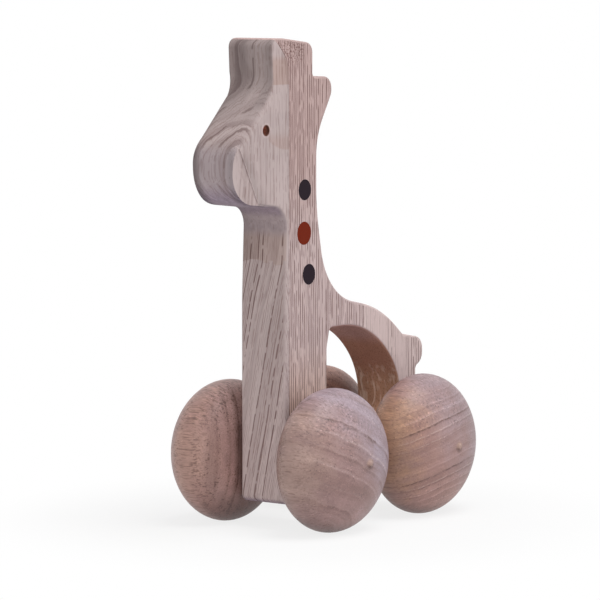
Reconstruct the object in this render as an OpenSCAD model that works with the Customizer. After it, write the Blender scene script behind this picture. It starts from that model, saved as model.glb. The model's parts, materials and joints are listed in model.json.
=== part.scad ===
// Wooden giraffe on wheels: one scroll-sawn board with eased edges, three inlaid spots
// and two wooden axles, each with a round-faced wheel glued on either end.
// +X points to the muzzle, +Y to the giraffe's left, +Z up, with the wheels on Z = 0.

/* [Board] */
// Thickness of the board
board_t = 19; // [14:0.5:24]
// Easing of the board's edges
edge_r = 1; // [0.6:0.1:2.2]

/* [Legs] */
// Width of the front leg, and of the rear leg at its foot
leg_w = 25; // [21:0.5:28]
// Front edge of a leg to its axle
axle_inset = 9.5; // [8:0.5:11]
// Sole to axle
axle_h = 15.8; // [12:0.2:17]
// Width of the rear leg above its foot
shank_w = 10.2; // [7:0.2:12]
// Round of the rear foot over its axle
foot_r = 9.5; // [7.5:0.5:11]
// Round between the rear foot and the shank above it
instep_r = 4.5; // [3:0.5:6]
// Round at the ends of the soles
sole_r = 2.5; // [2.2:0.1:4]

/* [Arch] */
// Height of the arch's crown above the soles
arch_h = 59.4; // [52:0.1:66]
// Fall of the arch from its crown to the top of the rear shank
arch_fall = 19.6; // [14:0.1:22]
// Length of the arch's sloping shoulder
arch_shoulder = 18.7; // [16:0.1:24]
// Round at the crown of the arch
arch_crown_r = 38; // [24:1:44]
// Round where the arch meets the shank
arch_shank_r = 28; // [14:1:30]
// Setback of the arch's front corner from the back of the front leg
groin_run = 1.7; // [1:0.1:4]
// Height over which that setback runs out
groin_h = 6.9; // [4:0.1:9]

/* [Trunk] */
// Wood above the arch's crown at the foot of the neck
trunk_t = 11.5; // [9:0.1:16]
// Fall of the back from the foot of the neck to the rump
back_fall = 6.5; // [3:0.1:8]
// Fall of the rump to the root of the tail
rump_fall = 10.7; // [8:0.1:13]
// Length of the rump, forward of the rear leg's back edge
rump_run = 21.7; // [19:0.1:26]
// Round of the rump
rump_r = 49; // [20:1:60]
// Round between the neck and the back
withers_r = 24; // [14:0.5:28]

/* [Tail] */
// Root of the tail, forward of the rear leg's back edge
tail_root = 8.1; // [6:0.1:10]
// Reach of the tail behind the leg
tail_l = 4.3; // [3:0.1:8]
// Slope of the tail's top
tail_slope = 2.3; // [0:0.1:4]
// Depth of the tail
tail_d = 8.1; // [7:0.1:13]
// Rise of the tail's underside
tail_under = 2.2; // [1:0.1:4]
// Round of the tail
tail_r = 4.6; // [3:0.1:5.5]

/* [Neck] */
// Length of the neck, from its foot to the throat
neck_l = 31.4; // [24:0.1:44]
// Width of the neck
neck_w = 17.7; // [15:0.1:22]
// Lean of the neck's front edge
neck_lean = 1.2; // [0.4:0.1:3]
// Taper of the neck's back edge, from its foot up
neck_flare = 6; // [4:0.1:9]
// Round of the throat
throat_r = 7; // [4:0.5:10]
// Long bends at the neck's front and back
neck_bend_r = 75; // [40:1:90]
// Round of the nape
nape_r = 25; // [10:1:28]

/* [Head] */
// Reach of the muzzle in front of the chest
muzzle_l = 27.9; // [22:0.1:34]
// Rise of the chin from the throat to the muzzle
chin_rise = 3.2; // [1:0.1:6]
// Depth of the muzzle's front
muzzle_d = 19; // [13:0.1:22]
// Round of the muzzle
muzzle_r = 12.4; // [8:0.1:14]
// Rise of the forehead
forehead_h = 20.6; // [17:0.1:26]
// Run of the forehead
forehead_l = 21.2; // [17:0.1:24]
// Throat to the nape, behind the head
nape_h = 24.4; // [19:0.1:28]
// Height of the horn block above the forehead
horn_h = 15.9; // [15:0.1:22]
// Width of the horn block at its top
horn_w = 24.1; // [21:0.1:28]
// Forward flare of the horn block
horn_flare = 0.8; // [0:0.1:3]
// Length of the slope at the back of the horn block
crown_run = 16.9; // [12:0.1:20]
// Drop of that slope
crown_drop = 1.9; // [1:0.1:4]
// Round at the start of that slope
crown_r = 25; // [10:1:30]
// Round at the front of the horn block
horn_front_r = 3.2; // [2.4:0.1:7]
// Round at the back of the horn block
horn_back_r = 3.6; // [2.4:0.1:4]
// Round between the forehead and the horn block
brow_r = 9.5; // [3:0.5:12]
// Easing of the edges along the forehead
forehead_edge_r = 4; // [1:0.1:5]
// Easing of the edges round the muzzle and the chin
muzzle_edge_r = 1.6; // [1:0.1:3]

/* [Cheeks] */
// Width of the flat sanded on each cheek
cheek_w = 7.6; // [4:0.1:10]
// Step down into that flat at its rear edge
cheek_step = 0.3; // [0.1:0.05:0.35]
// Depth of that flat at the muzzle's edge
cheek_depth = 1.2; // [0.4:0.1:2]
// Lean of the flat's rear edge, in degrees
cheek_lean = 28; // [10:1:40]
// Muzzle's front to that edge, at the top of the muzzle
cheek_inset = 2.7; // [2:0.1:8]

/* [Ear] */
// Step from the horn block down to the ear
ear_step = 11.7; // [8:0.1:13]
// Reach of the ear behind the horn block
ear_l = 11.1; // [8:0.1:13]
// Depth of the ear's end
ear_d = 6; // [4:0.1:8]
// Round of the ear
ear_r = 4.1; // [2.4:0.1:4.6]
// Round in the small inside corners
notch_r = 1.6; // [0.8:0.1:2.4]

/* [Eye] */
// Diameter of the drilled eye
eye_d = 3.5; // [2:0.1:5]
// Muzzle's front to the eye
eye_back = 17.5; // [14:0.1:21]
// Muzzle's upper corner to the eye
eye_up = 5.4; // [5:0.1:10]

/* [Spots] */
// Diameter of the dark spots
dark_spot_d = 7.2; // [5:0.1:9]
// Diameter of the red spot
red_spot_d = 8; // [5:0.1:10]
// Throat to the upper spot
spot_up = 6.3; // [3:0.1:9]
// Upper spot to the middle one
upper_pitch = 15; // [11:0.1:18]
// Middle spot to the lower one
lower_pitch = 14.4; // [11:0.1:18]
// Neck's front edge to the upper spot
upper_inset = 10.4; // [8:0.1:12]
// Neck's front edge to the middle spot
middle_inset = 10; // [8:0.1:12]
// Neck's front edge to the lower spot
lower_inset = 12.8; // [9:0.1:15]

/* [Wheels] */
// Diameter of the wheels
wheel_d = 50; // [42:1:52]
// Front axle to rear axle
wheelbase = 54.2; // [53:0.1:64]
// Length of the round face, from the tread out
face_l = 16.5; // [10:0.5:22]
// Length of the inner shoulder, from the tread in
shoulder_l = 11; // [7:0.5:15]
// Diameter of the flat on the inner side
hub_d = 24; // [16:0.5:30]
// Diameter of the turned nub on the face
nub_d = 2.6; // [1.6:0.1:4]
// Height of the turned nub
nub_h = 0.5; // [0.2:0.1:1]
// Side gap between a wheel and the board
wheel_gap = 2; // [1:0.1:5]

/* [Axles] */
// Diameter of the axles
axle_d = 8; // [6:0.5:10]
// Depth of a wheel's blind socket
socket_l = 16; // [10:0.5:20]
// Running clearance of an axle in the board, on the radius
axle_clearance = 0.1; // [0.02:0.01:0.1]
// Glue gap round the axle ends and the spots, on the radius
glue_gap = 0.03; // [0.01:0.01:0.1]

/* [Hidden] */
// Largest gap between a round and its chords, and steps across one eased edge
chord_gap = 0.025;
edge_steps = 4;
wheel_steps = 20;
cut_over = 1;

// Places along X, from the middle of the wheelbase
front_axle_x = wheelbase / 2;
rear_axle_x = -wheelbase / 2;
chest_x = front_axle_x + axle_inset;
leg_back_x = chest_x - leg_w;
foot_x = rear_axle_x + axle_inset;
rump_x = foot_x - leg_w;
shank_x = rump_x + shank_w;
throat_x = chest_x - neck_lean;
neck_back_x = throat_x - neck_w;
muzzle_x = chest_x + muzzle_l;
brow_x = muzzle_x - forehead_l;
horn_x = brow_x + horn_flare;
horn_back_x = horn_x - horn_w;
ear_x = horn_back_x - ear_l;
tail_x = rump_x - tail_l;

// Heights above the soles
foot_h = axle_h + foot_r;
arch_shank_h = arch_h - arch_fall;
withers_h = arch_h + trunk_t;
rump_h = withers_h - back_fall;
tail_root_h = rump_h - rump_fall;
tail_top_h = tail_root_h - tail_slope;
tail_low_h = tail_top_h - tail_d;
throat_h = withers_h + neck_l;
chin_h = throat_h + chin_rise;
muzzle_h = chin_h + muzzle_d;
brow_h = muzzle_h + forehead_h;
crown_h = brow_h + horn_h;
horn_back_h = crown_h - crown_drop;
ear_h = horn_back_h - ear_step;

// The outline's corners, counter-clockwise from the front toe: [x, height, round],
// with the easing of the edge that follows where it isn't edge_r
corners = [
    [chest_x, 0, sole_r],
    [chest_x, withers_h, neck_bend_r],
    [throat_x, throat_h, throat_r, muzzle_edge_r],
    [muzzle_x, chin_h, muzzle_r, muzzle_edge_r],
    [muzzle_x, muzzle_h, muzzle_r, forehead_edge_r],
    [brow_x, brow_h, brow_r],
    [horn_x, crown_h, horn_front_r],
    [horn_back_x + crown_run, crown_h, crown_r],
    [horn_back_x, horn_back_h, horn_back_r],
    [horn_back_x, ear_h, notch_r],
    [ear_x, ear_h, ear_r],
    [ear_x, ear_h - ear_d, ear_r],
    [neck_back_x, throat_h + nape_h, nape_r],
    [neck_back_x, throat_h, neck_bend_r],
    [neck_back_x - neck_flare, withers_h, withers_r],
    [rump_x + rump_run, rump_h, rump_r],
    [rump_x + tail_root, tail_root_h, notch_r],
    [tail_x, tail_top_h, tail_r],
    [tail_x, tail_low_h, tail_r],
    [rump_x, tail_low_h - tail_under, notch_r],
    [rump_x, 0, sole_r],
    [foot_x, 0, sole_r],
    [foot_x, foot_h, foot_r],
    [shank_x, foot_h, instep_r],
    [shank_x, arch_shank_h, arch_shank_r],
    [shank_x + arch_shoulder, arch_h, arch_crown_r],
    [leg_back_x - groin_run, arch_h, notch_r],
    [leg_back_x, arch_h - groin_h, notch_r],
    [leg_back_x, 0, sole_r]
];

// Rounding of the corners: tangent lengths are cut back only where two rounds would meet
corner_n = len(corners);
function at(i) = corners[(i + corner_n) % corner_n];
function place(i) = [at(i).x, at(i).y];
function easing(i) = len(at(i)) > 3 ? at(i)[3] : edge_r;
function away(i, j) = (place(j) - place(i)) / norm(place(j) - place(i));
function half_angle(i) = acos(away(i, i - 1) * away(i, i + 1)) / 2;
function reach(i) = at(i).z / tan(half_angle(i));
function room(i, j) = norm(place(j) - place(i)) / (reach(i) + reach(j));
function round_r(i) = at(i).z * min(1, room(i, i - 1), room(i, i + 1));
function heading(v) = atan2(v.y, v.x);
function turn(i) =
    let (d = heading(away(i, i + 1)) - heading(-away(i, i - 1)))
    d > 180 ? d - 360 : d < -180 ? d + 360 : d;

// One corner's points along its round: [point, outward normal, easing]
function corner_arc(i) =
    let (
        r = round_r(i),
        side = sign(turn(i)),
        bisector = away(i, i - 1) + away(i, i + 1),
        centre = place(i) + bisector / norm(bisector) * r / sin(half_angle(i)),
        first = heading(-away(i, i - 1)) - 90,
        steps = ceil(abs(turn(i)) / (2 * acos(1 - chord_gap / r)))
    )
    [for (k = [0 : steps])
        let (
            a = first + turn(i) * k / steps,
            normal = [cos(a), sin(a)],
            ease = easing(i - 1) + (easing(i) - easing(i - 1)) * k / steps
        )
        [centre + side * r * normal, normal, side > 0 ? min(ease, r) : ease]];

// The whole outline, with one point where two rounds run into each other
rounds = [for (i = [0 : corner_n - 1]) each corner_arc(i)];
function apart(i) = norm(rounds[i][0] - rounds[(i + 1) % len(rounds)][0]) > chord_gap;
outline = [for (i = [0 : len(rounds) - 1]) if (apart(i)) rounds[i]];
outline_n = len(outline);

// Rings of the eased edge, from the left face to the right: [angle on the round, side]
rings = [
    for (k = [edge_steps : -1 : 0]) [90 * k / edge_steps, 1],
    for (k = [0 : edge_steps]) [90 * k / edge_steps, -1]
];
function ring_point(p, ring) =
    let (q = p[0] - p[1] * p[2] * (1 - cos(ring[0])))
    [q.x, ring[1] * (board_t / 2 - p[2] * (1 - sin(ring[0]))), q.y];

// A face's triangles, found by clipping one ear after another from its outline
face_points = [for (p = outline) p[0] - p[1] * p[2]];
function covers(a, b, c, p) =
    cross(b - a, p - a) >= 0 && cross(c - b, p - b) >= 0 && cross(a - c, p - c) >= 0;
function is_ear(loop, k) =
    let (
        n = len(loop),
        i = loop[(k + n - 1) % n],
        j = loop[(k + 1) % n],
        a = face_points[i],
        b = face_points[loop[k]],
        c = face_points[j]
    )
    cross(b - a, c - b) > 0
    && len([for (m = loop) if (m != i && m != loop[k] && m != j && covers(a, b, c, face_points[m])) m]) == 0;
function first_ear(loop, k = 0) = is_ear(loop, k) ? k : first_ear(loop, k + 1);
function ears(loop) =
    let (n = len(loop), k = n > 3 ? first_ear(loop) : 1)
    concat(
        [[loop[(k + n - 1) % n], loop[k], loop[(k + 1) % n]]],
        n > 3 ? ears([for (i = [1 : n - 1]) loop[(k + i) % n]]) : []
    );

// The frame's origin: middle of the whole length, on the ground
wheel_r = wheel_d / 2;
lift = wheel_r - axle_h;
front_end = max(muzzle_x, front_axle_x + wheel_r);
rear_end = min(tail_x, rear_axle_x - wheel_r);
origin_x = (front_end + rear_end) / 2;

// The eye, and the three spots from the throat down: [x, height, diameter]
eye_x = muzzle_x - eye_back;
eye_h = muzzle_h + eye_up;
upper_spot_h = throat_h + spot_up;
spots = [
    [throat_x - upper_inset, upper_spot_h, dark_spot_d],
    [throat_x - middle_inset, upper_spot_h - upper_pitch, red_spot_d],
    [throat_x - lower_inset, upper_spot_h - upper_pitch - lower_pitch, dark_spot_d]
];

// Across the toy
wheel_y = board_t / 2 + wheel_gap;
axle_l = 2 * (wheel_y + socket_l);
cheek_slope = atan((cheek_depth - cheek_step) / cheek_w);

// Puts board coordinates, x from mid-wheelbase and height from the soles, into the frame
module on_wheels() {
    translate([-origin_x, 0, lift])
        children();
}

// A cylinder along Y through the middle of the board
module across(x, h, d, l) {
    translate([x, 0, h])
        rotate([90, 0, 0])
            cylinder(d = d, h = l, center = true, $fn = 64);
}

// The board, lofted through inset copies of its outline so that both edges are eased
module eased_board() {
    points = [for (ring = rings) each [for (p = outline) ring_point(p, ring)]];
    last = len(rings) - 1;
    left_face = ears([for (i = [0 : outline_n - 1]) i]);
    right_face = [for (t = left_face) [for (i = [2, 1, 0]) last * outline_n + t[i]]];
    edge_faces = [
        for (k = [0 : last - 1], i = [0 : outline_n - 1])
            let (
                j = (i + 1) % outline_n,
                a = k * outline_n + i,
                b = k * outline_n + j,
                c = b + outline_n,
                d = a + outline_n
            )
            each [[a, c, b], [a, d, c]]
    ];
    polyhedron(points, concat(left_face, right_face, edge_faces));
}

// Cuts the shallow flat on the left cheek
module cheek_cut() {
    translate([muzzle_x - cheek_inset, board_t / 2 - cheek_step, muzzle_h])
        rotate([0, cheek_lean, 0])
            rotate([0, 0, -cheek_slope])
                translate([0, 0, -1.5 * muzzle_d])
                    cube([2 * muzzle_r, board_t, 2.5 * muzzle_d]);
}

module body() {
    bore_d = axle_d + 2 * axle_clearance;
    color("#cbb5a8")
        on_wheels()
            difference() {
                eased_board();
                cheek_cut();
                mirror([0, 1, 0])
                    cheek_cut();
                across(eye_x, eye_h, eye_d, board_t + cut_over);
                across(front_axle_x, axle_h, bore_d, board_t + cut_over);
                across(rear_axle_x, axle_h, bore_d, board_t + cut_over);
                for (s = spots)
                    across(s.x, s.y, s.z + 2 * glue_gap, board_t + cut_over);
            }
}

// A spot is a dowel glued right through the neck and sanded flush with both faces
module spot_dowel(s) {
    on_wheels()
        across(s.x, s.y, s.z, board_t);
}

module upper_spot() {
    color("#322a31")
        spot_dowel(spots[0]);
}

module middle_spot() {
    color("#722d1b")
        spot_dowel(spots[1]);
}

module lower_spot() {
    color("#322a31")
        spot_dowel(spots[2]);
}

module axle(x) {
    color("#c2a183")
        on_wheels()
            across(x, axle_h, axle_d, axle_l);
}

module front_axle() {
    axle(front_axle_x);
}

module rear_axle() {
    axle(rear_axle_x);
}

// Half section of a wheel, from its inner flat out to the nub: [radius, distance from the flat]
function wheel_section() =
    let (
        hub_r = hub_d / 2,
        nub_r = nub_d / 2,
        face_end = acos(nub_r / wheel_r),
        nub_z = shoulder_l + face_l * sin(face_end) + nub_h
    )
    [
        [0, 0],
        for (k = [0 : wheel_steps])
            let (a = 90 * k / wheel_steps)
            [hub_r + (wheel_r - hub_r) * sin(a), shoulder_l * (1 - cos(a))],
        for (k = [1 : wheel_steps])
            let (a = face_end * k / wheel_steps)
            [wheel_r * cos(a), shoulder_l + face_l * sin(a)],
        [nub_r / 2, nub_z],
        [0, nub_z]
    ];

// A wheel with its blind socket for the axle's end; side is 1 on the left and -1 on the right
module wheel(x, side) {
    color("#bd9a84")
        on_wheels()
            translate([x, side * wheel_y, axle_h])
                rotate([-90 * side, 0, 0])
                    difference() {
                        rotate_extrude($fn = 96)
                            polygon(wheel_section());
                        translate([0, 0, -cut_over])
                            cylinder(d = axle_d + 2 * glue_gap, h = socket_l + cut_over, $fn = 64);
                    }
}

module front_left_wheel() {
    wheel(front_axle_x, 1);
}

module front_right_wheel() {
    wheel(front_axle_x, -1);
}

module rear_left_wheel() {
    wheel(rear_axle_x, 1);
}

module rear_right_wheel() {
    wheel(rear_axle_x, -1);
}

body();
upper_spot();
middle_spot();
lower_spot();
front_axle();
front_left_wheel();
front_right_wheel();
rear_axle();
rear_left_wheel();
rear_right_wheel();
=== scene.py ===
import json
import math
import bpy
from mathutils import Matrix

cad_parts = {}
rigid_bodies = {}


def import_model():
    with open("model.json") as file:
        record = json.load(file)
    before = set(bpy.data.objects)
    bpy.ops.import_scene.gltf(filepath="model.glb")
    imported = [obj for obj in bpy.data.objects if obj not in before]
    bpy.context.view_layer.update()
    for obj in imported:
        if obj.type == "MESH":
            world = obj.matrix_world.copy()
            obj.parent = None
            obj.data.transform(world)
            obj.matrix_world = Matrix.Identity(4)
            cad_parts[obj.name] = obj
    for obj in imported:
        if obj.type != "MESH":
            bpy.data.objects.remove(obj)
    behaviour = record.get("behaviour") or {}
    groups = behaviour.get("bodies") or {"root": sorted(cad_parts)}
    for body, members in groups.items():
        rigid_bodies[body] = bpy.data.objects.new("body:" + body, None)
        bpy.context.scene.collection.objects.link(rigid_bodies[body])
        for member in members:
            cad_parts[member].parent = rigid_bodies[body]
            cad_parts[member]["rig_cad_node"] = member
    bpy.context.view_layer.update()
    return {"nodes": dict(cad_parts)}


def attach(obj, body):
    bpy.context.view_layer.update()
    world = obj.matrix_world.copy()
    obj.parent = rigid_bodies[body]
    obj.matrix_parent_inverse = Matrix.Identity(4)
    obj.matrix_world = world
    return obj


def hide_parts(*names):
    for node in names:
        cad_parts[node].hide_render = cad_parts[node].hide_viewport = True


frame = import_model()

from types import SimpleNamespace

import bpy
from mathutils import Vector

nodes = frame["nodes"]

# Places on the toy in millimetres: length to the front, across to the left, and up.
FRONT_SEAM = 27.85
MIDDLE_SEAM = 4.15
RUMP_SEAM = -16.05
TAIL_SEAM = -43.1
SEAM_HALF_WIDTH = 0.1
BEND_START = 158  # from here up the front seam curves forward on the horn block
BEND_HEIGHT = 11.6
BEND_REACH = 8.1
FINGER_JOINT = 93  # between the leg's part of the front stave and the head's
FINGER_WIDTH = 2.1
FINGER_LENGTH = 1.8
EYE = (40.8, 139.1)
EYE_RADIUS = 2.0
WARM_PATCH = (28, 139.5)  # the middle of the warmer wood behind and below the eye
WARM_PATCH_RADII = (13.784, 7.746)
LEDGE = (53.92, 130.5)  # a point on the slanted ledge that ends the sanded cheek
LEDGE_SLOPE = (0.883, 0.469)  # the way across the ledge, back and up
FRONT_AXLE = 20.9
REAR_AXLE = -33.3
AXLE_HEIGHT = 25
WHEEL_SIDE = 22.5

# The stage, in metres.
LAMP_TARGET = (0, 0, 0.07)
CAMERA_PLACE = (1.01147, 0.74781, 0.19780)
CAMERA_TARGET = (0.008863, 0, 0.07832)
SKY_LIGHT = 0.4  # what the white sky gives, where the camera sees it as 1
FLOOR_WHITE = 0.8  # the floor's share of plain white near the toy, as the camera sees it


class Value:
    """A socket of a finish. Arithmetic on it adds Math nodes."""

    def __init__(self, tree, socket):
        self.tree = tree
        self.socket = socket

    def maths(self, operation, *terms):
        return self.tree.node("ShaderNodeMath", {"operation": operation}, dict(enumerate(terms)))

    def __add__(self, other):
        return self.maths("ADD", self, other)

    def __radd__(self, other):
        return self.maths("ADD", other, self)

    def __sub__(self, other):
        return self.maths("SUBTRACT", self, other)

    def __rsub__(self, other):
        return self.maths("SUBTRACT", other, self)

    def __mul__(self, other):
        return self.maths("MULTIPLY", self, other)

    def __rmul__(self, other):
        return self.maths("MULTIPLY", other, self)

    def __truediv__(self, other):
        return self.maths("DIVIDE", self, other)

    def __abs__(self):
        return self.maths("ABSOLUTE", self)

    def whole(self):
        return self.maths("FLOOR", self)

    def part(self):
        return self.maths("FRACT", self)

    def at_least(self, other):
        return self.maths("MAXIMUM", self, other)

    def root(self):
        return self.maths("SQRT", self)


class Tree:
    """A node tree that is built node by node."""

    def __init__(self, tree):
        self.tree = tree

    def feed(self, socket, value):
        if isinstance(value, Value):
            self.tree.links.new(value.socket, socket)
        else:
            socket.default_value = value

    def node(self, kind, settings=None, inputs=None, output=0):
        made = self.tree.nodes.new(kind)
        for name, setting in (settings or {}).items():
            setattr(made, name, setting)
        for name, value in (inputs or {}).items():
            self.feed(made.inputs[name], value)
        return Value(self, made.outputs[output])

    def seen(self):
        """1 for what the camera sees, straight, in a mirror or through glass."""
        camera, glossy, through = [
            self.node("ShaderNodeLightPath", output=ray)
            for ray in ("Is Camera Ray", "Is Glossy Ray", "Is Transmission Ray")
        ]
        return camera.at_least(glossy).at_least(through)


class Finish(Tree):
    """A procedural material in millimetres."""

    def __init__(self, name):
        self.material = bpy.data.materials.new(name)
        self.material.use_nodes = True
        super().__init__(self.material.node_tree)
        self.shader = self.tree.nodes["Principled BSDF"]

    def rise(self, value, low, high):
        """0 below low, 1 above high, and a smooth step between them."""
        return self.node(
            "ShaderNodeMapRange",
            {"interpolation_type": "SMOOTHSTEP"},
            {"Value": value, "From Min": low, "From Max": high},
        )

    def fall(self, value, low, high):
        """1 below low, 0 above high, and a smooth step between them."""
        return 1 - self.rise(value, low, high)

    def between(self, value, start, full, fade, gone):
        """Rises from start to full and falls from fade to gone."""
        return self.rise(value, start, full) * self.fall(value, fade, gone)

    def past(self, value, seam):
        """0 before a glued seam and 1 after it."""
        return self.rise(value, seam - SEAM_HALF_WIDTH, seam + SEAM_HALF_WIDTH)

    def span(self, one_way, other_way):
        """The distance that two steps at right angles make."""
        return (one_way * one_way + other_way * other_way).root()

    def vector(self, x, y, z):
        return self.node("ShaderNodeCombineXYZ", inputs={"X": x, "Y": y, "Z": z})

    def split(self, vector):
        return [
            self.node("ShaderNodeSeparateXYZ", inputs={"Vector": vector}, output=axis)
            for axis in ("X", "Y", "Z")
        ]

    def millimetres(self, centre=(0, 0, 0)):
        """Object coordinates in millimetres, from a centre: length, across and up."""
        place = self.node("ShaderNodeTexCoord", output="Object")
        scaled = self.node(
            "ShaderNodeVectorMath", {"operation": "SCALE"}, {0: place, "Scale": 1000.0}
        )
        moved = self.node(
            "ShaderNodeMapping", {"vector_type": "TEXTURE"}, {"Vector": scaled, "Location": centre}
        )
        return self.split(moved)

    def facing(self):
        """How far the surface faces each way."""
        return self.split(self.node("ShaderNodeTexCoord", output="Normal"))

    def cloud(self, place, sizes, shift=0.0, detail=2.0, roughness=0.5):
        """Noise about 0.5 with lumps of these sizes. A shift along the last gives another draw."""
        x, y, z = [part / size for part, size in zip(place, sizes)]
        return self.node(
            "ShaderNodeTexNoise",
            inputs={
                "Vector": self.vector(x, y, z + shift),
                "Scale": 1.0,
                "Detail": detail,
                "Roughness": roughness,
            },
        )

    def chance(self, value):
        return self.node("ShaderNodeTexWhiteNoise", {"noise_dimensions": "1D"}, {"W": value})

    def dashes(self, lanes, run, seed, idle):
        """Crisp dashes, one lane beside another, each with breaks of its own along the run.

        A lane with a chance below idle stays clear."""
        own = self.chance(lanes.whole() + seed)
        thin = self.between(lanes.part(), 0.28, 0.42, 0.55, 0.7)
        broken = self.cloud((lanes.whole() * 5.3 + seed, run, 0), (1, 1, 1), detail=1.0)
        return thin * self.rise(own - idle, 0.0, 0.4) * self.rise(broken, 0.38, 0.48)

    def blend(self, share, first, second, kind="MIX"):
        return self.node(
            "ShaderNodeMix",
            {"data_type": "RGBA", "blend_type": kind},
            {0: share, 6: first, 7: second},
            2,
        )

    def stain(self, share, colour, dye):
        return self.blend(share, colour, dye, "MULTIPLY")

    def shade(self, colour, tone):
        return self.stain(1.0, colour, self.vector(tone, tone, tone))

    def surface(self, colour, roughness, height, depth, specular):
        """Feeds the shader. The depth is how far in metres a height of 1 stands out."""
        self.feed(self.shader.inputs["Base Color"], colour)
        self.feed(self.shader.inputs["Roughness"], roughness)
        self.shader.inputs["Specular IOR Level"].default_value = specular
        bump = self.node(
            "ShaderNodeBump", inputs={"Height": height, "Distance": depth, "Strength": 1.0}
        )
        self.feed(self.shader.inputs["Normal"], bump)
        return self.material


def tint(red, green, blue):
    """A colour given as on a screen, 0 to 255, in the linear form that sockets take."""
    linear = [
        c / 12.92 if c <= 0.04045 else ((c + 0.055) / 1.055) ** 2.4
        for c in (red / 255, green / 255, blue / 255)
    ]
    return (*linear, 1.0)


# The board's wood.
NECK_STAVE = tint(196, 175, 173)
NAPE_BLUSH = tint(189, 163, 159)
LEG_STAVE = tint(215, 186, 173)
RUMP_STAVE = tint(201, 181, 178)
FRONT_STAVE = tint(188, 171, 169)
MUZZLE = tint(191, 176, 179)
BOARD_RING = tint(122, 100, 99)
BOARD_PORE = tint(118, 86, 80)
BOARD_STREAK = tint(92, 62, 58)
EYE_BORE_WOOD_AND_BOUNCE = tint(206, 142, 122)
EYE_RIM_SHADE = tint(52, 32, 26)
WORN_ARCH = tint(244, 222, 206)

# Tints that multiply the board's own tint. The arch's three give the sawn arch browner wood and
# also painted shade, lighter at the foot as painted bounce light; the chin's is painted shade.
ARCH_FOOT_SAWN_AND_LIT = tint(254, 226, 194)
ARCH_MIDDLE_SAWN_AND_SHADED = tint(222, 184, 161)
ARCH_TOP_SAWN_AND_SHADED = tint(226, 198, 190)
WARM_CHEEK = tint(243, 232, 225)
MAUVE_UNDERSIDE_SHADE = tint(228, 224, 242)
COLLAR = tint(254, 248, 243)

# The wheels' wood. Each wheel has three ground tints of its own besides.
# Painted shade for the foot of the right wheels' inner faces, and a pale painted sheen for their
# domes.
INNER_FOOT_SHADE = tint(84, 44, 38)
PALE_DOME_SHEEN = tint(180, 152, 153)
WHEEL_BAND = tint(122, 90, 82)
WHEEL_HAIRLINE = tint(112, 82, 76)
WHEEL_FRESH_RING = tint(214, 192, 188)
WHEEL_RING = tint(102, 72, 66)
WHEEL_PORE = tint(92, 62, 54)
NUB_LIT = tint(172, 142, 128)
NUB_SHADED = tint(104, 74, 66)


def board_zones(wood):
    """The board's parts, each 1 on the part and 0 off it, and the places they are told by."""
    length, across, up = place = wood.millimetres()
    _, sideways, upwards = wood.facing()

    # The staves, and the joint that parts the head from the leg.
    bend = (up - BEND_START).at_least(0) / BEND_HEIGHT
    past_seam = length - FRONT_SEAM - BEND_REACH * bend * bend
    front = wood.past(past_seam, 0)
    rump = 1 - wood.past(length, RUMP_SEAM)
    tail = 1 - wood.past(length, TAIL_SEAM)
    stave = front + wood.past(length, MIDDLE_SEAM) + 1 - rump
    finger = FINGER_LENGTH * wood.chance((across / FINGER_WIDTH).whole()) - FINGER_LENGTH / 2
    head = front * wood.rise(up + finger, FINGER_JOINT - 0.2, FINGER_JOINT + 0.2)

    # The flat that is sanded on each cheek, its ledge, and the strip beside the ledge that gets
    # painted shadow.
    past_ledge = (LEDGE[0] - length) * LEDGE_SLOPE[0] + (up - LEDGE[1]) * LEDGE_SLOPE[1]
    beside = head * wood.rise(up, 112, 115) * wood.rise(abs(across), 7, 8.5)
    ledge = beside * wood.fall(abs(past_ledge), 0.06, 0.2) * wood.fall(up, 134, 135)
    ledge_shadow = beside * wood.between(past_ledge, 0.0, 0.4, 1, 6) * wood.fall(up, 128, 132)
    flat = beside * wood.fall(past_ledge, -0.3, 0.0)

    # The broad sides, their eased edges and the parts of the face.
    side = wood.rise(abs(sideways), 0.75, 0.98).at_least(ledge)
    eased = wood.between(abs(sideways), 0.06, 0.4, 0.93, 0.99)
    face = head * (1 - side)
    muzzle = face * wood.between(up, 112, 116, 131, 136)
    horn = wood.rise(up, 138, 150) * front * (1 - side)
    chin = front * wood.rise(0 - upwards, 0.25, 0.9)
    under = face * wood.fall(up, 113, 117)
    throat = under * wood.rise(up, 101, 105)
    collar = under - throat
    low = front * (1 - side) * (1 - head)

    # The sawn edge of the other staves, with the arch and the ends of the grain.
    rim = (1 - front) * (1 - side)
    arch = rim * wood.between(length, -43, -40, 2.5, 4) * wood.fall(up, 69, 70)
    arch = arch * (1 - wood.rise(upwards, 0.3, 0.6) * wood.rise(up, 50, 54))
    end = rim * wood.rise(abs(upwards), 0.45, 0.8).at_least(arch)
    return SimpleNamespace(
        place=place, past_seam=past_seam, stave=stave, front=front, rump=rump, tail=tail,
        head=head, ledge=ledge, ledge_shadow=ledge_shadow, flat=flat, side=side, eased=eased, face=face,
        muzzle=muzzle, horn=horn, chin=chin, throat=throat, collar=collar, low=low,
        rim=rim, arch=arch, end=end,
    )


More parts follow.
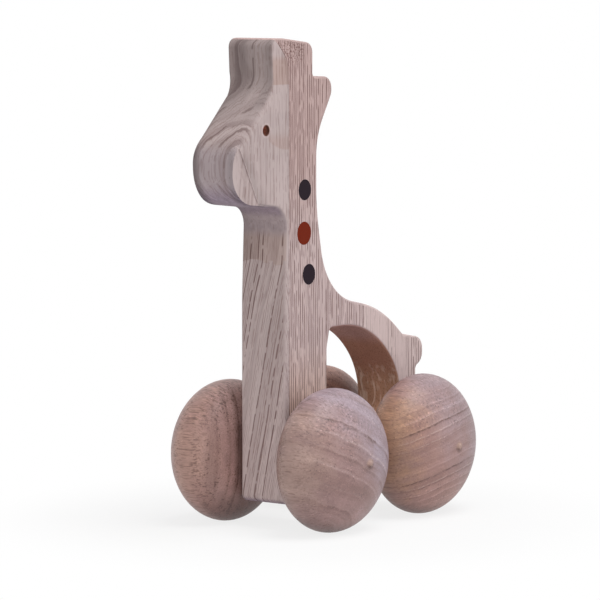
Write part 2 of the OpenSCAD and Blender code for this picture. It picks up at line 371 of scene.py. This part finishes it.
def board_grain(wood, on):
    """Rings, dashes, pores and fibres that run up the staves, and slant on the front leg."""
    length, across, up = on.place
    depth = across + on.front * 0.2 * (FINGER_JOINT - up).at_least(0)
    slanted = (length, depth, up)
    drift = wood.cloud(slanted, (24, 24, 90), on.stave * 7.3) - 0.5
    wave = wood.cloud(slanted, (2.5, 2.5, 25), on.stave * 2.7) - 0.5

    rings = (depth + length) / (5 + 4 * on.head) + drift * 3.0 + wave * (0.35 - 0.2 * on.head)
    bands = wood.cloud((rings, up, on.stave * 3.7), (1, 200, 1), detail=3.0, roughness=0.6)
    ringed = wood.between(rings.part(), 0.5, 0.93, 0.95, 1.0) * wood.chance(rings.whole())
    ringed = (ringed * 0.8 + wood.rise(bands, 0.42, 0.75)) * (1 - 0.75 * on.side)
    ringed = ringed * on.front * (0.5 + 0.5 * on.head)
    ringed = ringed * (1 - 0.88 * on.throat - 0.65 * on.collar) * (1 - 0.45 * on.muzzle)

    side_lanes = (length + 0.12 * across) / 1.1 + drift * 2.5 + wave * 0.7
    rim_lanes = (across + 0.35 * length) / 1.1 + drift * 2.5 + wave * 0.7
    front_width = 1.7 + 2.0 * wood.rise(up, 104.9, 105.1)
    front_lanes = (depth + 0.9 * length) / front_width + wave * 0.7
    lanes = side_lanes + on.rim * (rim_lanes - side_lanes) + on.front * (front_lanes - side_lanes)
    idle = on.front * 0.25 + on.rump * 0.6 - on.tail * 0.4
    bold = wood.dashes(lanes, up / 8 * (1 + 0.85 * on.front), on.stave * 31, idle)
    bold = bold * (1 - 0.7 * on.front * on.side) * (1 - 0.3 * on.rim) * (1 - 0.95 * on.end)
    bold = bold * (1 - 0.45 * on.head - 0.35 * on.muzzle + 0.3 * on.collar) * (1 - on.throat)
    bold = bold * (1 - 0.3 * on.rump + 0.5 * on.tail)
    faint = wood.dashes(lanes * 2.3, up / 5, on.stave * 47, 0.1) * (1 - 0.95 * on.end)
    faint = faint * (1 - 0.5 * on.rump) * (1 - 0.5 * on.head) * (1 - on.throat)
    glue = wood.fall(abs(on.past_seam), 0.1, 0.35)
    open_glue = glue * 0.7 * wood.rise(wood.cloud((0, 0, up), (1, 1, 7)), 0.4, 0.6)

    speckle = wood.rise(wood.cloud(on.place, (0.5, 0.5, 0.7), detail=1.0), 0.52, 0.62)
    horn_top = wood.rise(up, 160, 164) * (1 - on.front) * wood.rise(length, 18, 22)
    pore = wood.rise(wood.cloud(slanted, (0.3, 0.3, 6), on.stave * 5, 1.0), 0.6, 0.72)
    pore = pore + horn_top * (speckle * 2.2 - pore)
    pore = pore + on.end * (speckle * 0.7 - pore)
    return SimpleNamespace(
        ringed=ringed,
        streak=bold.at_least(open_glue),
        faint=faint,
        pore=pore,
        fibre=wood.cloud(slanted, (0.25, 0.25, 5), detail=3.0) - 0.5,
        patch=wood.cloud(slanted, (14, 10, 70), on.stave * 3.1) - 0.5,
        horn_streak=wood.cloud((depth, 0, up), (4.5, 1, 60)) - 0.5,
    )


def board_tone(wood, on, grain):
    """How much lighter or darker each part is than its own tint: random patches and fibres of the
    wood, some parts' own tone, and painted shade and painted light.
    """
    _, across, up = on.place
    # Painted shade on the face's right edge, the face, chin and throat, the eased edges, the strip
    # beside the ledge and the muzzle's rounded sides; the horn is darker partly as its own wood and
    # partly as painted shade.
    right_edge_shade = on.face * wood.fall(across, -9, -3) * (1 - on.horn)
    temple = on.front * on.side * wood.between(up, 120, 132, 144, 146)
    dim = on.face * 0.08 + on.chin * 0.12 + right_edge_shade * 0.18 + on.eased * 0.06
    dim = dim + on.throat * 0.05 + on.ledge_shadow * 0.18 + temple * 0.06
    dim = dim + on.muzzle * wood.rise(abs(across), 4.5, 8) * 0.3
    dim = dim + on.horn * (0.22 + wood.rise(across, 2, 8) * 0.1 - grain.horn_streak * 0.7)
    # Painted light on the cheek ledge and on the front of the leg, more towards the bottom.
    bright = on.ledge * 0.12 + on.flat * 0.05 + on.collar * 0.07 + on.rump * 0.03
    bright = bright + on.low * (0.06 + 0.15 * wood.fall(up, 30, 80))
    uneven = grain.patch * (0.2 + 0.3 * on.rim) + grain.fibre * (0.14 + 0.2 * on.rim)
    return 1 + uneven + bright - dim


def board_colour(wood, on, grain):
    """The staves' tints with the grain over them, then the arch, the joints, the eye and scuffs,
    with painted shade and painted light among them.
    """
    length, across, up = on.place
    colour = wood.blend(wood.rise(up, 95, 130) * (1 - on.front), NECK_STAVE, NAPE_BLUSH)
    colour = wood.blend(wood.fall(up, 36, 68), colour, LEG_STAVE)
    colour = wood.blend(on.rump, colour, RUMP_STAVE)
    colour = wood.blend(on.front, colour, FRONT_STAVE)
    colour = wood.blend(on.muzzle, colour, MUZZLE)

    clean = 1 - on.eased * (1 - 0.2 * on.front) * (1 - on.front * wood.rise(up, 112, 118))
    colour = wood.blend(grain.ringed * (0.62 + 0.16 * on.head), colour, BOARD_RING)
    colour = wood.blend(grain.pore * 0.4 * clean, colour, BOARD_PORE)
    colour = wood.blend(grain.faint * 0.55 * clean, colour, BOARD_PORE)
    colour = wood.blend(grain.streak * (0.95 - 0.25 * on.low) * clean, colour, BOARD_STREAK)

    # The sawn arch is browner wood, darkened further here as painted shade and lightest at the foot
    # as painted bounce light.
    arch_sawn_and_shaded = wood.blend(wood.rise(up, 43, 54), ARCH_FOOT_SAWN_AND_LIT, ARCH_MIDDLE_SAWN_AND_SHADED)
    arch_sawn_and_shaded = wood.blend(wood.rise(up, 59, 64), arch_sawn_and_shaded, ARCH_TOP_SAWN_AND_SHADED)
    colour = wood.stain(on.arch, colour, arch_sawn_and_shaded)
    worn = wood.rise(wood.cloud((across, length, up), (1.3, 1.3, 9)), 0.5, 0.66)
    colour = wood.blend(on.arch * worn * wood.fall(up, 44, 55) * 0.7, colour, WORN_ARCH)

    patch_along = (length - WARM_PATCH[0]) / WARM_PATCH_RADII[0]
    patch_up = (up - WARM_PATCH[1]) / WARM_PATCH_RADII[1]
    in_patch = wood.fall(wood.span(patch_along, patch_up), 0.9, 1.0) * wood.fall(up, 135, 139)
    warm = wood.between(up, 154.2, 154.6, 162, 165) + 0.7 * in_patch
    colour = wood.stain(warm * on.front * on.side, colour, WARM_CHEEK)
    # Mauve painted shade on the faces under the chin, and a little on the throat.
    colour = wood.stain(on.chin.at_least(on.throat * 0.3), colour, MAUVE_UNDERSIDE_SHADE)
    colour = wood.stain(on.collar, colour, COLLAR)
    colour = wood.shade(colour, board_tone(wood, on, grain))

    # The bored eye: its wall is warm wood, brightened as painted bounce light, with a ring of
    # painted shade just inside the mouth of the bore.
    from_eye = wood.span(length - EYE[0], up - EYE[1])
    bored = wood.fall(from_eye, EYE_RADIUS - 0.15, EYE_RADIUS)
    bore_rim_shade = bored * wood.rise(from_eye, 1.2, 1.7) * wood.rise(abs(across), 7.5, 9)
    halo = wood.fall(abs(from_eye - EYE_RADIUS - 0.35), 0.15, 0.5) * on.side
    colour = wood.shade(colour, 1 + 0.12 * halo)
    colour = wood.blend(bored, colour, EYE_BORE_WOOD_AND_BOUNCE)
    colour = wood.blend(bore_rim_shade * 0.85, colour, EYE_RIM_SHADE)
    scuff = wood.cloud(on.place, (1.6, 1.6, 1.6)) - 0.5
    return wood.shade(colour, 1 + scuff * on.chin.at_least(on.throat * 0.7) * 0.6)


def board_wood():
    """Staves of pale wood glued side by side, grain upwards, with the eye bored through."""
    wood = Finish("raw_board")
    on = board_zones(wood)
    grain = board_grain(wood, on)
    return wood.surface(
        board_colour(wood, on, grain),
        roughness=0.72 + grain.pore * 0.15,
        height=grain.fibre * 0.3 - grain.pore * 0.5 - grain.streak * 0.8,
        depth=0.00007,
        specular=0.25,
    )


def wheel_wood(name, centre, heart, pitch, lean, seed, tan, rosy, lilac):
    """Turned wood with its grain along the axle: end grain on the domes, dashes on the rims.

    The rings lie a pitch apart round the heart of the tree, which is given along and up from
    the wheel's centre, and they lean from the axle's way."""
    wood = Finish(name)
    along, axle, up = place = wood.millimetres(centre)
    outward = 1 if centre[1] > 0 else -1
    _, sideways, _ = wood.facing()
    dome = wood.rise(sideways * outward, 0.3, 0.9)
    inward = wood.rise(sideways * -outward, 0.05, 0.4)
    inner = wood.rise(sideways * -outward, 0.45, 0.85)
    rim = (1 - dome) * (1 - inner)

    # Rings, broad and crisp, with pale starts, hairlines between them and bands over them.
    drift = wood.cloud(place, (22, 60, 22), seed) - 0.5
    wave = wood.cloud(place, (2, 14, 2), seed) - 0.5
    beads = wood.cloud(place, (1, 12, 1), seed)
    strong = wood.cloud(place, (8, 30, 8), -seed)
    from_heart = wood.span(along - lean * axle - heart[0], up - heart[1])
    rings = from_heart / pitch + drift * 1.1 + wave * 0.2
    own = wood.chance(rings.whole() + seed)
    soft = wood.between(rings.part(), 0.3, 0.9, 0.92, 1.0)
    crisp = wood.between(rings.part(), 0.72, 0.84, 0.9, 0.98) * wood.rise(beads, 0.34, 0.52)
    ringed = (soft * 0.6 + crisp * (0.8 - 0.6 * inner)) * (0.1 + 0.9 * own * own)
    ringed = ringed * (0.5 + 0.5 * wood.rise(strong, 0.38, 0.58))
    ringed = ringed * (rim * (0.3 + 0.25 * outward) + 1.05 * dome + 1.3 * inner)
    fresh = wood.fall(rings.part(), 0.04, 0.2) * own * wood.rise(beads, 0.34, 0.52) * dome
    closer = rings * 2.6
    hairline = wood.between(closer.part(), 0.55, 0.8, 0.85, 0.98)
    hairline = hairline * wood.chance(closer.whole() - seed) * wood.rise(beads, 0.36, 0.56)
    hairline = hairline * (0.15 + 0.85 * dome)
    bands = wood.cloud((rings * 0.9, axle, seed), (1, 60, 1), detail=3.0, roughness=0.6)
    banded = wood.rise(bands, 0.35, 0.75)
    banded = banded * (rim * (0.2 + 0.12 * outward) + 0.48 * dome + 0.68 * inner)

    # Pores: fine ones, long threads on the rim and open holes on the inner face.
    pore = wood.rise(wood.cloud(place, (0.4, 13, 0.4), seed, 1.0), 0.58, 0.7)
    threads = wood.rise(wood.cloud(place, (0.9, 15, 0.6), -seed, 1.0), 0.6, 0.66) * rim
    holes = wood.rise(wood.cloud(place, (0.7, 5, 0.7), seed, 1.0), 0.55, 0.66)
    holes = holes * inward * wood.rise(strong + 0.25 * soft, 0.45, 0.65)
    pitted = (pore * (0.42 - 0.37 * dome - 0.1 * inner)).at_least(holes * 0.65)
    pitted = pitted.at_least(threads * (0.4 - 0.12 * outward))

    # Specks and clouds of lighter and darker wood, and painted glints towards the top.
    speck = wood.cloud(place, (0.5, 2, 0.5), -seed, 2.0, 0.7) - 0.5
    dots = wood.rise(speck, 0.12, 0.24) - wood.rise(0 - speck, 0.1, 0.22)
    gathered = wood.rise(wood.cloud(place, (6, 20, 5), seed * 2), 0.48, 0.62)
    glints = wood.cloud(place, (0.9, 3, 0.9), seed, 1.0) - 0.5
    glints = glints * wood.rise(up, 2, 14) * (0.4 + 0.6 * gathered) * (1 - inner)
    patch = wood.cloud(place, (14, 14, 14), seed) - 0.5
    mottle = wood.cloud(place, (4, 9, 3), -seed) - 0.5

    # The ground turns lilac towards the top and back and tan towards the front, with random
    # patches: partly the wood's own tone, partly painted sheen and painted warm bounce light.
    to_lilac_sheen = wood.rise(0.6 * up - 0.8 * along + patch * 30 + mottle * 14, -12, 15)
    to_tan_bounce = wood.rise(along + 0.15 * up + patch * 20 + mottle * 16, 11, 27)
    colour = wood.blend(to_tan_bounce, wood.blend(to_lilac_sheen, rosy, lilac), tan)
    if outward < 0:  # the right wheels: lilac over the inner face, painted shade low on the inner face, and a pale painted sheen on the dome
        colour = wood.blend(inner * 0.35, colour, lilac)
        colour = wood.blend(inward * wood.fall(up, -23, -10) * 0.6, colour, INNER_FOOT_SHADE)
        colour = wood.blend(dome * 0.7, colour, PALE_DOME_SHEEN)
    colour = wood.blend(banded, colour, WHEEL_BAND)
    colour = wood.blend(hairline * 0.3, colour, WHEEL_HAIRLINE)
    colour = wood.blend(fresh * 0.3, colour, WHEEL_FRESH_RING)
    colour = wood.blend(ringed * 0.8, colour, WHEEL_RING)
    colour = wood.blend(pitted, colour, WHEEL_PORE)
    # The nub at the middle of each dome, painted lit on top and shaded below.
    from_axis = wood.span(along, up)
    on_nub = wood.rise(axle * outward, 12, 14) * wood.fall(from_axis, 1.3, 2.5)
    nub = wood.blend(wood.rise(from_axis * 0.5 - up, 0.1, 1.6), NUB_LIT, NUB_SHADED)
    colour = wood.blend(on_nub * 0.7, colour, nub)

    # Painted light: more specks and glints towards the top and a lighter top; painted shade: rim
    # and inner face darker at the bottom, with the dome's bottom a little lighter as painted light.
    dotted = 0.08 + 0.45 * gathered * dome + 0.1 * inner + 0.24 * wood.rise(up, 4, 18)
    tone = 1 + speck * 0.45 + wood.rise(speck, 0.14, 0.24) * 0.16 + dots * dotted
    tone = tone + patch * 0.3 + mottle * 0.4 + glints * 1.2
    tone = tone + (0.28 * dome - 0.17) * wood.fall(up, -24, -8) + wood.rise(up, 8, 24) * 0.06
    return wood.surface(
        wood.shade(colour, tone),
        roughness=0.45 + pore * 0.2,
        height=speck * 0.4 - pore * 0.6 - ringed * 0.1,
        depth=0.00005,
        specular=0.5,
    )


def axle_wood():
    """A plain dowel with its grain along the axle."""
    wood = Finish("axle_dowel")
    fibre = wood.cloud(wood.millimetres(), (0.5, 8, 0.5), detail=3.0) - 0.5
    colour = wood.blend(wood.rise(fibre, -0.25, 0.25), tint(150, 118, 96), tint(186, 156, 130))
    return wood.surface(colour, 0.75 + fibre * 0.1, fibre, depth=0.0001, specular=0.25)


def stained_dowel(name, stain, worn):
    """A dowel that is stained through and sanded flush, with hardly any grain to see."""
    wood = Finish(name)
    grain = wood.cloud(wood.millimetres(), (0.35, 5, 0.35)) - 0.5
    colour = wood.blend(wood.rise(grain, -0.3, 0.35), stain, worn)
    return wood.surface(colour, 0.65 + grain * 0.2, grain, depth=0.00003, specular=0.08)


def give(name, material):
    nodes[name].data.materials.clear()
    nodes[name].data.materials.append(material)


def only(one):
    bpy.ops.object.select_all(action="DESELECT")
    one.select_set(True)
    bpy.context.view_layer.objects.active = one


def make_board():
    """The sawn and eased board: the CAD body as one closed skin with soft edges."""
    only(nodes["body"])
    bpy.ops.object.duplicate()
    board = bpy.context.object
    board.name = "sanded_board"
    del board["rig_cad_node"]
    only(board)
    bpy.ops.mesh.customdata_custom_splitnormals_clear()
    bpy.ops.object.mode_set(mode="EDIT")
    bpy.ops.mesh.select_all(action="SELECT")
    bpy.ops.mesh.remove_doubles(threshold=0.000002)
    bpy.ops.mesh.dissolve_limited(angle_limit=0.0005)
    bpy.ops.object.mode_set(mode="OBJECT")
    bpy.ops.object.shade_smooth_by_angle(angle=math.radians(35))
    weigh = board.modifiers.new("flat faces stay flat", "WEIGHTED_NORMAL")
    weigh.keep_sharp = True
    weigh.weight = 100
    bpy.ops.object.modifier_apply(modifier=weigh.name)
    board.data.materials.clear()
    board.data.materials.append(board_wood())
    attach(board, "board")
    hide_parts("body")


WHEELS = {
    "front_left_wheel": dict(
        centre=(FRONT_AXLE, WHEEL_SIDE, AXLE_HEIGHT),
        heart=(50, -85), pitch=5.4, lean=0.0, seed=31.0,
        tan=tint(171, 143, 134), rosy=tint(161, 130, 127), lilac=tint(160, 144, 154),
    ),
    "rear_left_wheel": dict(
        centre=(REAR_AXLE, WHEEL_SIDE, AXLE_HEIGHT),
        heart=(-14, -80), pitch=2.9, lean=0.0, seed=12.0,
        tan=tint(174, 135, 110), rosy=tint(169, 132, 125), lilac=tint(152, 131, 135),
    ),
    "front_right_wheel": dict(
        centre=(FRONT_AXLE, -WHEEL_SIDE, AXLE_HEIGHT),
        heart=(120, 8), pitch=5.0, lean=0.7, seed=35.0,
        tan=tint(179, 142, 130), rosy=tint(176, 137, 130), lilac=tint(190, 157, 152),
    ),
    # Its tan and lilac are darker than the other wheels', partly as painted shade between the legs.
    "rear_right_wheel": dict(
        centre=(REAR_AXLE, -WHEEL_SIDE, AXLE_HEIGHT),
        heart=(60, -60), pitch=3.0, lean=0.0, seed=53.0,
        tan=tint(160, 120, 98), rosy=tint(208, 156, 122), lilac=tint(160, 122, 110),
    ),
}

make_board()
for wheel, grain in WHEELS.items():
    give(wheel, wheel_wood(wheel + "_wood", **grain))
axle = axle_wood()
give("front_axle", axle)
give("rear_axle", axle)
dark = stained_dowel("dark_stain", tint(34, 24, 32), tint(40, 30, 38))
give("upper_spot", dark)
give("lower_spot", dark)
give("middle_spot", stained_dowel("red_stain", tint(106, 30, 8), tint(114, 36, 14)))


def make_floor():
    """A pale floor that takes the shadow and fades to white away from the toy."""
    bpy.ops.object.select_all(action="DESELECT")
    bpy.ops.mesh.primitive_plane_add(size=6, location=(0, 0, 0))
    floor = bpy.context.object
    floor.name = "floor"
    pale = Finish("pale_floor")
    pale.shader.inputs["Base Color"].default_value = (0.8, 0.8, 0.8, 1)
    pale.shader.inputs["Roughness"].default_value = 0.9
    pale.shader.inputs["Specular IOR Level"].default_value = 0.0
    along, across, _ = pale.millimetres()
    away = pale.rise(pale.span(along, across), 60, 130)
    white = pale.node("ShaderNodeEmission", inputs={"Strength": 1.0})
    plain = Value(pale, pale.shader.outputs["BSDF"])
    share = (FLOOR_WHITE + (1 - FLOOR_WHITE) * away) * pale.seen()
    mixed = pale.node("ShaderNodeMixShader", inputs={0: share, 1: plain, 2: white})
    pale.feed(pale.tree.nodes["Material Output"].inputs["Surface"], mixed)
    floor.data.materials.append(pale.material)


def aimed(name, data, place, target):
    """Puts a lamp or the camera in its place, looking at the target. All in metres."""
    holder = bpy.data.objects.new(name, data)
    bpy.context.scene.collection.objects.link(holder)
    holder.location = place
    holder.rotation_mode = "QUATERNION"
    aim = Vector(target) - holder.location
    holder.rotation_quaternion = aim.to_track_quat("-Z", "Y")
    return holder


def lamp(name, place, size, power, colour):
    light = bpy.data.lights.new(name, "AREA")
    light.size = size
    light.energy = power
    light.color = colour
    aimed(name, light, place, LAMP_TARGET)


def make_light():
    lamp("overhead", (0.0, 0.5, 1.5), size=0.9, power=15.5, colour=(1.0, 1.0, 1.0))
    lamp("window_side", (-0.7, 1.2, 0.6), size=1.0, power=4.9, colour=(0.94, 0.96, 1.0))
    lamp("front_fill", (1.3, 0.3, 0.7), size=1.0, power=3.2, colour=(1.0, 0.97, 0.95))
    world = bpy.data.worlds.new("studio")
    bpy.context.scene.world = world
    world.use_nodes = True
    sky = Tree(world.node_tree)
    background = world.node_tree.nodes["Background"]
    background.inputs["Color"].default_value = (1, 1, 1, 1)
    sky.feed(background.inputs["Strength"], SKY_LIGHT + (1 - SKY_LIGHT) * sky.seen())


def make_camera():
    """The photo's own view, fitted to the wheels' outlines and the board's edges."""
    lens = bpy.data.cameras.new("photo_view")
    lens.lens = 215.5
    lens.sensor_width = 36
    bpy.context.scene.camera = aimed("photo_view", lens, CAMERA_PLACE, CAMERA_TARGET)


make_floor()
make_light()
make_camera()
bpy.context.scene.view_settings.view_transform = "Standard"
